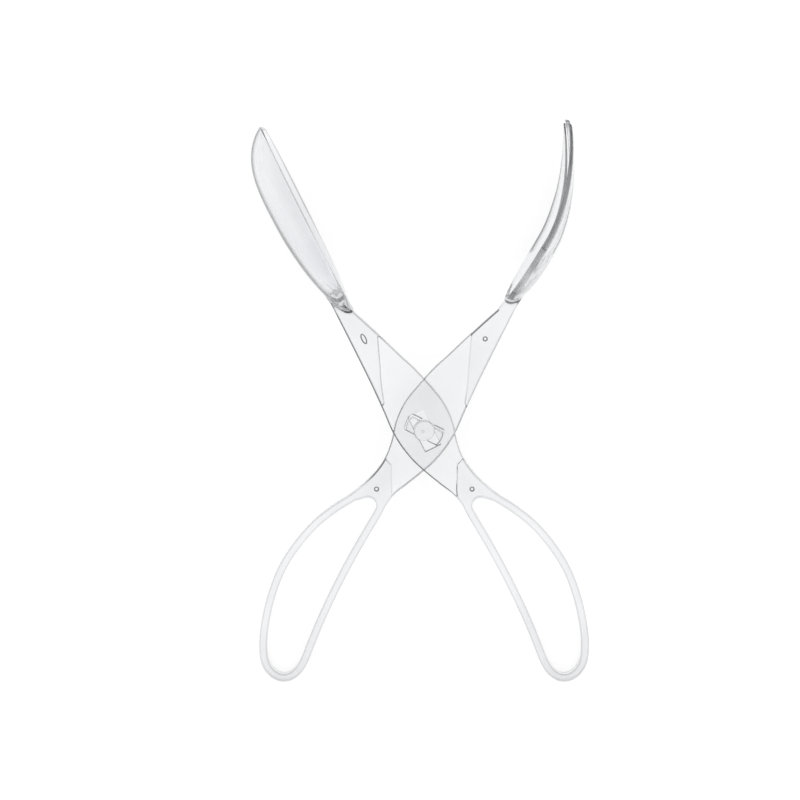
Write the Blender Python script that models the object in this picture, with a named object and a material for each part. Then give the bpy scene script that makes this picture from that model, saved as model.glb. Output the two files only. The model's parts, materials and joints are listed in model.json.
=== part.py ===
"""Clear moulded serving tongs: a spoon arm and a fork arm, crossed like scissors on a twist-lock pivot.

Each arm is drawn closed, in its own flat frame, with the pivot at the origin: across is x, along is y
towards the head, and up through the plate is z. The head lies on the -x side of the pivot and the handle
on the +x side. The fork arm is drawn the same way and mirrored. Then both arms are opened by half the
rest angle each, and the pair is laid on a table: the heads' lower edges and the handles' ends touch it.
"""

import math

import bmesh
import bpy
from mathutils import Matrix, Vector
from mathutils.geometry import tessellate_polygon

# Plates
PLATE_THICKNESS = 0.0060
LAP_GAP = 0.0003
EDGE_RADIUS = 0.0008
STEP_CLEARANCE = 0.0003
POCKET_RADIUS = 0.0205

# Plan of an arm
ARM_HALF_WIDTH = 0.0126
NECK_LENGTH = 0.0600
NECK_SEAT = 0.0090
WAIST_LENGTH = 0.0330
LOOP_LENGTH = 0.0915
LOOP_WIDTH = 0.0294
BAR_WIDTH = 0.0033
CROTCH_RADIUS = 0.0036
CROTCH_DEPTH = 0.0031

# Twist-lock pivot
BOSS_RADIUS = 0.0042
BOSS_CLEARANCE = 0.0001
LUG_REACH = 0.0080
LUG_WIDTH = 0.0066
LUG_THICKNESS = 0.0018
LUG_GAP = 0.0003
LUG_CLEARANCE = 0.0003
BOSS_RISE = 0.0003
WINDOW_LEDGE = 0.0003

# Both heads: half their width, and how far a rim stands back from the plane where the heads meet
HEAD_HALF_WIDTH = 0.0250
RIM_OFFSET = 0.0038

# Spoon, with its lengths counted from its heel
SPOON_OVERLAP = 0.0012
SPOON_LENGTH = 0.0861
SPOON_WIDEST_AT = 0.0482
SPOON_HOLLOW_AT = 0.0077
SPOON_DEPTH = 0.01395
SPOON_WALL = 0.0018

# Fork, with its lengths counted from its heel
FORK_SETBACK = 0.0048
FORK_LENGTH = 0.0787
FORK_WIDEST_AT = 0.0402
FORK_DEEPEST_AT = 0.0192
FORK_RIM_LOWEST_AT = 0.0322
FORK_DEPTH = 0.00835
FORK_RIM_DIP = 0.00795
FORK_TIP_RISE = 0.01325
FORK_HEEL_RISE = 0.00275
FORK_THICKNESS = 0.0026
TINE_TIP_THICKNESS = 0.0015
PALM_LENGTH = 0.0222
PALM_SIDE_LENGTH = 0.0264
TINE_COUNT = 4
TINE_SPACING = 0.0124
TINE_ROOT_WIDTH = 0.0096
TINE_TIP_WIDTH = 0.0062
TINE_POINT_LENGTH = 0.0090
TINE_POINT_WIDTH = 0.0014

# Moulding marks
MARK_RADIUS = 0.0011
MARK_LENGTH = 0.0024
MARK_DEPTH = 0.0003
NECK_MARK = (-0.0056, 0.0462)
HANDLE_MARK = (0.0070, -0.0314)

# Motion, and how finely curves are cut into facets
REST_ANGLE = math.radians(52.8)
STOP_ANGLE = math.radians(1.6)
FACET = 0.0022
CUT_OVERRUN = 0.0020
SPOON_SPOKES = 56
SPOON_RINGS = 11
FORK_SPOKES = 64
FORK_RINGS = 10
TINE_STEPS = 14

# Places along an arm, from the pivot
SPOON_HEEL = NECK_LENGTH - SPOON_OVERLAP
SPOON_HOLLOW_HEEL = SPOON_HEEL + SPOON_HOLLOW_AT
SPOON_WIDEST = SPOON_HEEL + SPOON_WIDEST_AT
SPOON_TIP = SPOON_HEEL + SPOON_LENGTH
FORK_HEEL = NECK_LENGTH + FORK_SETBACK
FORK_DEEPEST = FORK_HEEL + FORK_DEEPEST_AT
FORK_RIM_LOWEST = FORK_HEEL + FORK_RIM_LOWEST_AT
FORK_WIDEST = FORK_HEEL + FORK_WIDEST_AT
FORK_TIP = FORK_HEEL + FORK_LENGTH

# The outer side of an arm's plan, from the head down to the handle, as shares of the sizes named above
OUTER_NECK_SHARES = ((-0.91, 1.05), (-0.905, 0.75), (-0.91, 0.47), (-0.945, 0.25), (-0.985, 0.10))
OUTER_WAIST_SHARES = ((-0.94, -0.05), (-0.80, -0.29), (-0.59, -0.50), (-0.33, -0.72), (-0.09, -0.91))
LOOP_SHARES = (
    (0.006, 0.03), (0.012, 0.10), (0.037, 0.21), (0.058, 0.34), (0.066, 0.49), (0.054, 0.645), (0.026, 0.775),
    (0.004, 0.865), (0.030, 0.929), (0.122, 0.977), (0.279, 1.000), (0.452, 0.992), (0.612, 0.956),
    (0.748, 0.885), (0.864, 0.787), (0.959, 0.661), (1.003, 0.525), (0.966, 0.393), (0.864, 0.262),
    (0.704, 0.148), (0.520, 0.049),
)
INNER_WAIST_SHARES = ((0.945, -0.89), (0.80, -0.68), (0.766, -0.50), (0.84, -0.29), (0.975, -0.10))
INNER_NECK_SHARES = (
    (1.02, 0.04), (1.00, 0.135), (0.90, 0.235), (0.77, 0.335), (0.625, 0.435), (0.43, 0.54), (0.24, 0.65),
    (0.045, 0.76), (-0.12, 0.85), (-0.27, 0.93), (-0.38, 0.985),
)

# How the heads curve: powers of a plan's rounding, powers of a hollow's fall to its rim, and shares of a
# wall or sheet where the neck ends in it
SPOON_TIP_POWER = 3.5
SPOON_HEEL_POWER = 2.1
SPOON_TIP_FALL = (3.5, 0.8)
SPOON_HEEL_FALL = (1.85, 0.58)
SPOON_ROOT_SHARES = ((0.985, 0.45), (0.93, 0.75), (0.86, 0.85), (0.79, 0.72))
FORK_TIP_POWER = 5.0
FORK_HEEL_POWER = 2.3
FORK_TIP_FALL = (1.7, 1.1)
FORK_HEEL_FALL = (2.0, 0.5)
FORK_RIM_TIP_POWER = 2.0
FORK_RIM_HEEL_POWER = 1.2
FORK_EDGE_SHARE = 0.25
FORK_ROOT_SHARES = ((0.006, 0.9), (0.03, 0.6), (0.09, 0.6))


def smooth_curve(points):
    """Points on a curve through the given ones, about a facet apart."""
    found = []
    for i in range(len(points) - 1):
        before = points[max(i - 1, 0)]
        start = points[i]
        end = points[i + 1]
        after = points[min(i + 2, len(points) - 1)]
        pieces = max(1, round((end - start).length / FACET))
        for k in range(pieces):
            t = k / pieces
            linear = 2 * start + (end - before) * t
            square = (2 * before - 5 * start + 4 * end - after) * t**2
            cube = (3 * start - before - 3 * end + after) * t**3
            found.append(0.5 * (linear + square + cube))
    return [*found, points[-1]]


def scaled(shares, width, length):
    return [Vector((across * width, along * length)) for across, along in shares]


def arc(centre, radius, start, end):
    """Points from the start angle to the end angle, in degrees."""
    turn = math.radians(end - start)
    pieces = max(2, math.ceil(abs(turn) * radius / FACET), math.ceil(abs(turn) / math.radians(15)))
    angles = [math.radians(start) + turn * i / pieces for i in range(pieces + 1)]
    return [Vector((centre[0] + radius * math.cos(a), centre[1] + radius * math.sin(a))) for a in angles]


def offset(points, distance, closed=True):
    """The same outline moved to the left of its direction of travel."""
    moved = []
    count = len(points)
    for i, point in enumerate(points):
        before = points[i - 1] if closed or i else point
        after = points[(i + 1) % count] if closed or i + 1 < count else point
        along = (after - before).normalized()
        moved.append(point + distance * Vector((-along.y, along.x)))
    return moved


def outer_neck():
    points = scaled(OUTER_NECK_SHARES, ARM_HALF_WIDTH, NECK_LENGTH)
    return [Vector((points[0].x, NECK_LENGTH + NECK_SEAT)), *points]


def outer_waist():
    return scaled(OUTER_WAIST_SHARES, ARM_HALF_WIDTH, WAIST_LENGTH)


def loop():
    return [Vector((p.x, -WAIST_LENGTH - p.y)) for p in scaled(LOOP_SHARES, LOOP_WIDTH, LOOP_LENGTH)]


def inner_waist():
    return scaled(INNER_WAIST_SHARES, ARM_HALF_WIDTH, WAIST_LENGTH)


def inner_neck():
    return scaled(INNER_NECK_SHARES, ARM_HALF_WIDTH, NECK_LENGTH)


def arm_outline(head_end):
    """The plan of an arm, from the head's outer side round to the points inside the head that close it."""
    edge = smooth_curve([*outer_neck(), *outer_waist(), *loop(), *inner_waist(), *inner_neck()])
    return [*edge, *head_end]


def hole_outline():
    """The finger hole: the loop's own edge moved in by the bar's width, and a round crotch at the top."""
    centre = Vector((loop()[0].x + BAR_WIDTH + CROTCH_RADIUS, -WAIST_LENGTH - CROTCH_DEPTH - CROTCH_RADIUS))
    edge = smooth_curve([outer_waist()[-1], *loop(), inner_waist()[0]])
    moved = offset(edge, BAR_WIDTH, closed=False)
    sides = [p for p in moved if p.y < centre.y and (p - centre).length > CROTCH_RADIUS + FACET / 2]
    last = sides[-1] - centre
    start = math.degrees(math.atan2(last.y, last.x) + math.acos(CROTCH_RADIUS / last.length))
    return [*sides, *arc(centre, CROTCH_RADIUS, start, 180)]


def mate_edge(points):
    """A stretch of the mate's plan with the steps' clearance outside it, where the closed tongs put it."""
    moved = offset(smooth_curve(points), -STEP_CLEARANCE, closed=False)
    turn = Matrix.Rotation(-STOP_ANGLE, 2)
    return [turn @ Vector((-p.x, p.y)) for p in reversed(moved)]


def pocket_outline():
    """Where the mate lies over this arm when the tongs are closed, and a round clearing about the pivot."""
    neck_step = [p for p in mate_edge(inner_neck()) if p.length > POCKET_RADIUS]
    waist_step = [p for p in mate_edge([*outer_waist(), *loop()[:2]]) if p.length > POCKET_RADIUS]
    left = math.degrees(math.atan2(neck_step[-1].y, neck_step[-1].x))
    right = math.degrees(math.atan2(waist_step[-1].y, waist_step[-1].x))
    return [
        *neck_step,
        *arc((0, 0), POCKET_RADIUS, left, 180)[1:],
        Vector((-POCKET_RADIUS, waist_step[0].y)),
        *waist_step,
        *arc((0, 0), POCKET_RADIUS, right, 0)[1:],
        Vector((POCKET_RADIUS, neck_step[0].y)),
    ]


def lug_outline(start, reach, half_width, side):
    """A lug on one side of the boss: it starts at a radius and ends round about the pivot."""
    outer = math.degrees(math.asin(half_width / reach))
    inner = math.degrees(math.asin(half_width / start))
    middle = 90 - 90 * side
    return [
        *arc((0, 0), reach, middle - outer, middle + outer),
        *arc((0, 0), start, middle + inner, middle - inner),
    ]


def keyhole_outline(radius, half_length, half_width):
    """A round hole with a straight slot across it, along the arm."""
    side = math.degrees(math.acos(half_width / radius))
    return [
        *arc((0, 0), radius, -side, side),
        Vector((half_width, half_length)),
        Vector((-half_width, half_length)),
        *arc((0, 0), radius, 180 - side, 180 + side),
        Vector((-half_width, -half_length)),
        Vector((half_width, -half_length)),
    ]


def rounded_levels(bottom, top, radius):
    """Heights up an edge, each with how far the outline is drawn in there."""
    if not radius:
        return [(bottom, 0.0), (top, 0.0)]
    turns = [math.radians(a) for a in (0, 45, 90)]
    steps = [(radius * (1 - math.sin(a)), radius * (1 - math.cos(a))) for a in turns]
    low = [(bottom + up, drawn_in) for up, drawn_in in reversed(steps)]
    high = [(top - down, drawn_in) for down, drawn_in in steps]
    return [*low, *high]


def new_object(name, mesh):
    made = bpy.data.objects.new(name, mesh)
    bpy.context.scene.collection.objects.link(made)
    return made


def mesh_object(name, bm):
    bmesh.ops.recalc_face_normals(bm, faces=bm.faces)
    mesh = bpy.data.meshes.new(name)
    bm.to_mesh(mesh)
    bm.free()
    return new_object(name, mesh)


def slab(name, outline, bottom, top, radius=0.0, hole=None):
    """A plate with the given plan, with round edges, and a hole through it where one is given."""
    bm = bmesh.new()
    levels = rounded_levels(bottom, top, radius)
    loops = [outline] if hole is None else [outline, list(reversed(hole))]
    rows = []
    for height, drawn_in in levels:
        rows.append([[bm.verts.new((*p, height)) for p in offset(points, drawn_in)] for points in loops])
    for lower, upper in zip(rows, rows[1:]):
        for a, b in zip(lower, upper):
            for i in range(len(a)):
                bm.faces.new((a[i - 1], a[i], b[i], b[i - 1]))
    for row in (rows[0], rows[-1]):
        verts = [v for ring in row for v in ring]
        for triangle in tessellate_polygon([[v.co for v in ring] for ring in row]):
            bm.faces.new([verts[i] for i in triangle])
    bmesh.ops.recalc_face_normals(bm, faces=bm.faces)
    bmesh.ops.dissolve_limit(bm, angle_limit=math.radians(0.1), verts=bm.verts, edges=bm.edges)
    return mesh_object(name, bm)


def circle(radius):
    return arc((0, 0), radius, 0, 360)[:-1]


def combine(target, operation, *tools):
    """Joins the tools to the target, or cuts them out of it, for good."""
    for tool in tools:
        change = target.modifiers.new(operation, "BOOLEAN")
        change.operation = operation
        change.object = tool
        tool.hide_render = True
        tool.display_type = "WIRE"
    bpy.context.view_layer.update()
    result = bpy.data.meshes.new_from_object(target.evaluated_get(bpy.context.evaluated_depsgraph_get()))
    target.modifiers.clear()
    target.data = result
    for tool in tools:
        bpy.data.objects.remove(tool)


def superellipse(angle, toward_tip, toward_heel, half_width, tip_power, heel_power):
    """A point of a head's plan, along and across its widest place, at an angle from its long axis."""
    along = math.cos(angle)
    across = math.sin(angle)
    power = tip_power if along > 0 else heel_power
    reach = toward_tip if along > 0 else toward_heel
    return (
        math.copysign(reach * abs(along) ** (2 / power), along),
        math.copysign(half_width * abs(across) ** (2 / power), across),
    )


def ring_body(name, rings, start, end):
    """A closed body through rings of points, closed by one point at each end."""
    bm = bmesh.new()
    first = bm.verts.new(start)
    last = bm.verts.new(end)
    rows = [[bm.verts.new(p) for p in ring] for ring in rings]
    for i in range(len(rows[0])):
        bm.faces.new((first, rows[0][i - 1], rows[0][i]))
        bm.faces.new((last, rows[-1][i], rows[-1][i - 1]))
    for a, b in zip(rows, rows[1:]):
        for i in range(len(a)):
            bm.faces.new((a[i - 1], b[i - 1], b[i], a[i]))
    return mesh_object(name, bm)


def rim_plan(angle, inward):
    """A point of the spoon's rim from its widest place: on its outer edge at 0, on its inner edge at 1."""
    toward_tip = SPOON_TIP - SPOON_WIDEST
    outer = superellipse(angle, toward_tip, SPOON_WIDEST - SPOON_HEEL, HEAD_HALF_WIDTH,
                         SPOON_TIP_POWER, SPOON_HEEL_POWER)
    inner = superellipse(angle, toward_tip - SPOON_WALL, SPOON_WIDEST - SPOON_HOLLOW_HEEL,
                         HEAD_HALF_WIDTH - SPOON_WALL, SPOON_TIP_POWER, SPOON_HEEL_POWER)
    return Vector(outer).lerp(Vector(inner), inward)


def bowl_fall(share, angle):
    """How much of its full depth the bowl still has at a share of the way out to its rim."""
    toward_tip = 0.5 + 0.5 * math.cos(angle)
    power = SPOON_HEEL_FALL[0] + (SPOON_TIP_FALL[0] - SPOON_HEEL_FALL[0]) * toward_tip
    bend = SPOON_HEEL_FALL[1] + (SPOON_TIP_FALL[1] - SPOON_HEEL_FALL[1]) * toward_tip
    return max(0.0, 1 - share**power) ** bend


def bowl_ring(share, inward, depth):
    """One ring of the bowl's outer or inner face."""
    ring = []
    for i in range(SPOON_SPOKES):
        angle = math.tau * i / SPOON_SPOKES
        plan = share * rim_plan(angle, inward)
        drop = depth * bowl_fall(share, angle)
        ring.append((-RIM_OFFSET - SPOON_WALL / 2 - drop, SPOON_WIDEST + plan.x, plan.y))
    return ring


def lip_ring(turn):
    """One ring of the bowl's round lip, from its outer edge at 0 to its inner edge at half a turn."""
    ring = []
    for i in range(SPOON_SPOKES):
        plan = rim_plan(math.tau * i / SPOON_SPOKES, (1 - math.cos(turn)) / 2)
        ring.append((-RIM_OFFSET - SPOON_WALL / 2 * (1 - math.sin(turn)), SPOON_WIDEST + plan.x, plan.y))
    return ring


def spoon_bowl():
    shares = [math.sin(math.pi / 2 * (i + 1) / (SPOON_RINGS + 1)) for i in range(SPOON_RINGS)]
    outer_depth = SPOON_DEPTH - SPOON_WALL / 2
    inner_depth = outer_depth - SPOON_WALL
    rings = [bowl_ring(share, 0, outer_depth) for share in shares]
    rings += [lip_ring(math.pi * i / 4) for i in range(5)]
    rings += [bowl_ring(share, 1, inner_depth) for share in reversed(shares)]
    bottom = -RIM_OFFSET - SPOON_WALL / 2
    outer_end = (bottom - outer_depth, SPOON_WIDEST, 0)
    inner_end = (bottom - inner_depth, SPOON_WIDEST, 0)
    return ring_body("bowl", rings, outer_end, inner_end)


def spoon_root():
    """The neck's end, inside the solid heel of the bowl."""
    root = []
    for share, depth_share in SPOON_ROOT_SHARES:
        along = SPOON_WIDEST + share * rim_plan(math.pi, 0).x
        drop = (SPOON_DEPTH - SPOON_WALL / 2) * bowl_fall(share, math.pi) * depth_share
        root.append(Vector((-RIM_OFFSET - SPOON_WALL / 2 - drop, along)))
    return root


def fork_plan(angle, inset):
    """A point of the fork's outline, drawn in by the inset."""
    edge = Vector(superellipse(angle, FORK_TIP - FORK_WIDEST, FORK_WIDEST - FORK_HEEL, HEAD_HALF_WIDTH,
                               FORK_TIP_POWER, FORK_HEEL_POWER))
    return edge * (1 - inset / edge.length)


def fork_half_width(along):
    """Half the fork's width at a place along it."""
    reach, power = (FORK_TIP, FORK_TIP_POWER) if along > FORK_WIDEST else (FORK_HEEL, FORK_HEEL_POWER)
    share = min(1.0, abs((along - FORK_WIDEST) / (reach - FORK_WIDEST)))
    return HEAD_HALF_WIDTH * (1 - share**power) ** (1 / power)


def fork_rim(along):
    """Where the fork's side edges lie, seen from the side: a dip that rises to the tips and to the heel."""
    if along > FORK_RIM_LOWEST:
        way = (along - FORK_RIM_LOWEST) / (FORK_TIP - FORK_RIM_LOWEST)
        return FORK_TIP_RISE * way**FORK_RIM_TIP_POWER - FORK_RIM_DIP
    way = (FORK_RIM_LOWEST - along) / (FORK_RIM_LOWEST - FORK_HEEL)
    return FORK_HEEL_RISE * way**FORK_RIM_HEEL_POWER - FORK_RIM_DIP


def fork_thickness(along):
    way = max(0.0, (along - FORK_RIM_LOWEST) / (FORK_TIP - FORK_RIM_LOWEST))
    return FORK_THICKNESS + (TINE_TIP_THICKNESS - FORK_THICKNESS) * way


def fork_sag(along, across):
    """How far the sheet bows out behind its side edges."""
    reach, (power, bend) = (FORK_TIP, FORK_TIP_FALL) if along > FORK_DEEPEST else (FORK_HEEL, FORK_HEEL_FALL)
    share = min(1.0, abs((along - FORK_DEEPEST) / (reach - FORK_DEEPEST)))
    fall = (1 - share**power) ** bend
    width = fork_half_width(along)
    bow = 1 - min(1.0, abs(across) / width) ** 2 if width else 0.0
    return (FORK_DEPTH - FORK_THICKNESS) * fall * bow


def sheet_ring(share, inset, through):
    """One ring of the fork's sheet: through is 0 on its back and 1 on its inner face."""
    ring = []
    for i in range(FORK_SPOKES):
        plan = share * fork_plan(math.tau * i / FORK_SPOKES, inset)
        ring.append(sheet_point(FORK_WIDEST + plan.x, plan.y, through))
    return ring


def sheet_point(along, across, through):
    depth = fork_rim(along) - fork_sag(along, across) - fork_thickness(along) * (1 - through)
    return (depth, along, across)


def fork_sheet():
    shares = [math.sin(math.pi / 2 * (i + 1) / (FORK_RINGS + 1)) for i in range(FORK_RINGS)]
    inset = FORK_THICKNESS * FORK_EDGE_SHARE
    rings = [sheet_ring(share, inset, 0) for share in [*shares, 1]]
    rings += [sheet_ring(1, 0, FORK_EDGE_SHARE), sheet_ring(1, 0, 1 - FORK_EDGE_SHARE)]
    rings += [sheet_ring(share, inset, 1) for share in [1, *reversed(shares)]]
    return ring_body("sheet", rings, sheet_point(FORK_WIDEST, 0, 0), sheet_point(FORK_WIDEST, 0, 1))


def tine_half_width(along):
    """Half the width of an inner tine: a straight taper from its root that ends in a long round point."""
    root = FORK_HEEL + PALM_LENGTH
    share = (along - root) / (FORK_TIP - root)
    straight = (TINE_ROOT_WIDTH + (TINE_TIP_WIDTH - TINE_ROOT_WIDTH) * share) / 2
    left = max(0.0, FORK_TIP - along) / TINE_POINT_LENGTH
    point = math.sqrt(1 - (1 - left) ** 2) if left < 1 else 1.0
    return max(TINE_POINT_WIDTH / 2, straight * point)


def tine_gap(name, place):
    """The cutter between two tines, with a round root. The outer gaps start further up the palm."""
    root = FORK_HEEL + (PALM_LENGTH if place == 0 else PALM_SIDE_LENGTH)
    root_radius = TINE_SPACING / 2 - tine_half_width(root)
    straight = root + root_radius
    centre = (straight, place * TINE_SPACING)
    sides = ([], [])
    reach = FORK_TIP - straight
    places = [straight + reach * math.sin(math.pi / 2 * i / TINE_STEPS) for i in range(TINE_STEPS + 1)]
    for along in [*places, FORK_TIP + CUT_OVERRUN]:
        gap = TINE_SPACING / 2 - tine_half_width(along)
        for side, points in zip((-1, 1), sides):
            points.append(Vector((along, centre[1] + side * gap)))
    plan = [*sides[0], *reversed(sides[1]), *arc(centre, root_radius, 90, 270)[1:-1]]
    cutter = slab(name, plan, -FORK_RIM_DIP - FORK_DEPTH - CUT_OVERRUN, FORK_TIP_RISE + CUT_OVERRUN)
    cutter.data.transform(Matrix(((0, 0, 1, 0), (1, 0, 0, 0), (0, 1, 0, 0), (0, 0, 0, 1))))
    return cutter


def fork_root():
    """The neck's end, inside the fork's palm."""
    root = []
    for share, through in FORK_ROOT_SHARES:
        along = FORK_HEEL + (FORK_WIDEST - FORK_HEEL) * share
        depth, _, _ = sheet_point(along, 0, through)
        root.append(Vector((depth, along)))
    return root


def mark(across, along, half_length):
    """The cutter for a shallow mark that a mould's ejector pin leaves, round or drawn out along the arm."""
    outline = [Vector((across + p.x, along + p.y * half_length / MARK_RADIUS)) for p in circle(MARK_RADIUS)]
    top = PLATE_THICKNESS / 2
    return slab("mark", outline, top - MARK_DEPTH, top + CUT_OVERRUN)


def arm_plate(name, head_end, keep_top, neck_mark_length):
    """An arm's plate with its finger hole, its marks and the half taken out where the mate crosses it."""
    half = PLATE_THICKNESS / 2
    plate = slab(name, arm_outline(head_end), -half, half, EDGE_RADIUS, hole_outline())
    low, high = (-half - CUT_OVERRUN, LAP_GAP / 2) if keep_top else (-LAP_GAP / 2, half + CUT_OVERRUN)
    pocket = slab("pocket", pocket_outline(), low, high)
    marks = [mark(*NECK_MARK, neck_mark_length), mark(*HANDLE_MARK, MARK_RADIUS)]
    combine(plate, "DIFFERENCE", pocket, *marks)
    return plate


def spoon_arm():
    """The upper arm: its pivot hole has a slot across it, along the arm, for the mate's lugs to pass."""
    arm = arm_plate("spoon_arm", spoon_root(), True, MARK_LENGTH)
    combine(arm, "UNION", spoon_bowl())
    half_slot = LUG_WIDTH / 2 + LUG_CLEARANCE
    keyhole = keyhole_outline(BOSS_RADIUS + BOSS_CLEARANCE, LUG_REACH + LUG_CLEARANCE, half_slot)
    combine(arm, "DIFFERENCE", slab("keyhole", keyhole, -CUT_OVERRUN, PLATE_THICKNESS / 2 + CUT_OVERRUN))
    return arm


def fork_arm():
    """The lower arm: a boss with two lugs stands on it, over the windows that let the mould shape them."""
    arm = arm_plate("fork_arm", fork_root(), False, MARK_RADIUS)
    combine(arm, "UNION", fork_sheet())
    middle = (TINE_COUNT - 2) / 2
    combine(arm, "DIFFERENCE", *(tine_gap("gap", i - middle) for i in range(TINE_COUNT - 1)))
    half = PLATE_THICKNESS / 2
    lug_bottom = half + LUG_GAP
    lug_top = lug_bottom + LUG_THICKNESS
    boss = slab("boss", circle(BOSS_RADIUS), -half + EDGE_RADIUS, lug_top + BOSS_RISE)
    combine(arm, "UNION", boss)
    half_window = LUG_WIDTH / 2 + LUG_CLEARANCE
    for side in (-1, 1):
        window = lug_outline(BOSS_RADIUS + WINDOW_LEDGE, LUG_REACH + LUG_CLEARANCE, half_window, side)
        combine(arm, "DIFFERENCE", slab("window", window, -half - CUT_OVERRUN, CUT_OVERRUN))
        lug = lug_outline(BOSS_RADIUS - WINDOW_LEDGE, LUG_REACH, LUG_WIDTH / 2, side)
        combine(arm, "UNION", slab("lug", lug, lug_bottom, lug_top))
    arm.data.transform(Matrix.Scale(-1, 4, Vector((1, 0, 0))))
    arm.data.flip_normals()
    return arm


def clear_plastic(name):
    """Clear moulded styrene plastic."""
    material = bpy.data.materials.new(name)
    material.use_nodes = True
    shader = material.node_tree.nodes["Principled BSDF"]
    shader.inputs["Base Color"].default_value = (0.93, 0.94, 0.95, 1)
    shader.inputs["Roughness"].default_value = 0.05
    shader.inputs["Metallic"].default_value = 0
    shader.inputs["Transmission Weight"].default_value = 1
    shader.inputs["IOR"].default_value = 1.57
    return material


def finish(arm):
    arm.data.materials.clear()
    arm.data.materials.append(clear_plastic(arm.name + "_plastic"))
    arm.data.shade_smooth()
    arm.data.set_sharp_from_angle(angle=math.radians(35))


def lowest_at(points, lay):
    """The lowest height of the points above the pivot, once the tongs' plane is tipped by the lay angle."""
    return min(p.y * math.sin(lay) + p.z * math.cos(lay) for p in points)


def lay_angle(points):
    """The tilt at which the heads and the handles touch a table together."""
    heads = [p for p in points if p.y > 0]
    handles = [p for p in points if p.y <= 0]
    low, high = 0.0, math.radians(30)
    for _ in range(50):
        middle = (low + high) / 2
        if lowest_at(heads, middle) < lowest_at(handles, middle):
            low = middle
        else:
            high = middle
    return low


def build():
    for old in list(bpy.data.objects):
        bpy.data.objects.remove(old)
    spoon = spoon_arm()
    fork = fork_arm()
    for arm in (spoon, fork):
        finish(arm)
    half_open = REST_ANGLE / 2
    opened = {spoon: Matrix.Rotation(half_open, 4, "Z"), fork: Matrix.Rotation(-half_open, 4, "Z")}
    points = [opened[arm] @ v.co for arm in opened for v in arm.data.vertices]
    lay = lay_angle(points)
    tip = Matrix.Rotation(lay, 4, "X")
    laid = [tip @ p for p in points]
    low = Vector([min(p[i] for p in laid) for i in range(3)])
    high = Vector([max(p[i] for p in laid) for i in range(3)])
    pivot = new_object("pivot", None)
    pivot.matrix_world = Matrix.Translation((-(low.x + high.x) / 2, -(low.y + high.y) / 2, -low.z)) @ tip
    for arm, turn in opened.items():
        arm.parent = pivot
        arm.matrix_basis = turn


build()
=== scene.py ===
"""Clear moulded serving tongs, seen from straight above, on a white table.

Each arm's mesh is drawn closed, in its own flat frame, with the pivot at the origin: across is x, along is y
towards the head, and up through the plate is z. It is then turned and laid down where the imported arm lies.
"""

import json
import math

import bmesh
import bpy
import numpy as np
from mathutils import Matrix, Vector
from mathutils.bvhtree import BVHTree
from mathutils.geometry import delaunay_2d_cdt
from mathutils.kdtree import KDTree


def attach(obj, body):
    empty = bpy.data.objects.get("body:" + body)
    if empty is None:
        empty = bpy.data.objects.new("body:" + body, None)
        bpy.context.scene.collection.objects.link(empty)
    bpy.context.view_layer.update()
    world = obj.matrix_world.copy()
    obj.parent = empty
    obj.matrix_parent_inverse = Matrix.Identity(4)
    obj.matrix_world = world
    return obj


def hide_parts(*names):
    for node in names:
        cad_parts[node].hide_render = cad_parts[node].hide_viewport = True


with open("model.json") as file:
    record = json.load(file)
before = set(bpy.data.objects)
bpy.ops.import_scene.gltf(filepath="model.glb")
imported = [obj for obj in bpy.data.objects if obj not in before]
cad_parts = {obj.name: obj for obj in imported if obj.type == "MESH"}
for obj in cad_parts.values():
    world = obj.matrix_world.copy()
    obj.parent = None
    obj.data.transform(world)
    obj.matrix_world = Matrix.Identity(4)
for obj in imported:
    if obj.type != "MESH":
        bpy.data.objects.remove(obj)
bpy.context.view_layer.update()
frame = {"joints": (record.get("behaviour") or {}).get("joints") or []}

# The spoon arm
# The upper arm is one injection moulding in clear polystyrene: bowl, neck, pivot plate and loop handle. Its
# edges are rounded, and half its thickness is left out where the fork arm crosses it. The boss of the fork
# arm comes up through its keyhole.
PLATE_THICKNESS = 0.0060
LAP_GAP = 0.0003
EDGE_RADIUS = 0.0008
STEP_CLEARANCE = 0.0003
STEP_RADIUS = 0.00035
POCKET_RADIUS = 0.0205
ARM_HALF_WIDTH = 0.0126
NECK_LENGTH = 0.0600
NECK_SEAT = 0.0090
WAIST_LENGTH = 0.0330
LOOP_LENGTH = 0.0915
LOOP_WIDTH = 0.0294
BAR_WIDTH = 0.0033
CROTCH_RADIUS = 0.0036
CROTCH_DEPTH = 0.0031
BOSS_RADIUS = 0.0042
BOSS_CLEARANCE = 0.0001
LUG_REACH = 0.0080
LUG_WIDTH = 0.0066
LUG_CLEARANCE = 0.0003
RIM_RADIUS = 0.0004
HEAD_HALF_WIDTH = 0.0250
RIM_OFFSET = 0.0038
SPOON_HEEL = NECK_LENGTH - 0.0012
SPOON_WIDEST = SPOON_HEEL + 0.0482
SPOON_HOLLOW_HEEL = SPOON_HEEL + 0.0077
SPOON_TIP = SPOON_HEEL + 0.0861
SPOON_DEPTH = 0.01395
SPOON_WALL = 0.0018
SPOON_TIP_POWER = 3.5
SPOON_HEEL_POWER = 2.1
SPOON_TIP_FALL = (3.5, 0.8)
SPOON_HEEL_FALL = (1.85, 0.58)
SPOON_ROOT_SHARES = ((0.985, 0.45), (0.93, 0.75), (0.875, 0.80))
NECK_END_RADIUS = 0.0011
SPOON_SPOKES = 144
SPOON_RINGS = 34
LIP_STEPS = 8
MARK_RADIUS = 0.0011
MARK_LENGTH = 0.0024
MARK_DEPTH = 0.0005
MARK_SLOPE = 0.0005
NECK_MARK = (-0.0056, 0.0462)
HANDLE_MARK = (0.0070, -0.0314)
REST_ANGLE = math.radians(52.8)
STOP_ANGLE = math.radians(1.6)
SPACING = 0.0007
OVERRUN = 0.0020
ROUNDING_STEPS = 5
ARC_STEP = math.radians(7.5)
ARC_LEAST_STEPS = 4
BLEND_RADIUS = 0.0030
BLEND_START = NECK_LENGTH - 3 * BLEND_RADIUS
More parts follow.
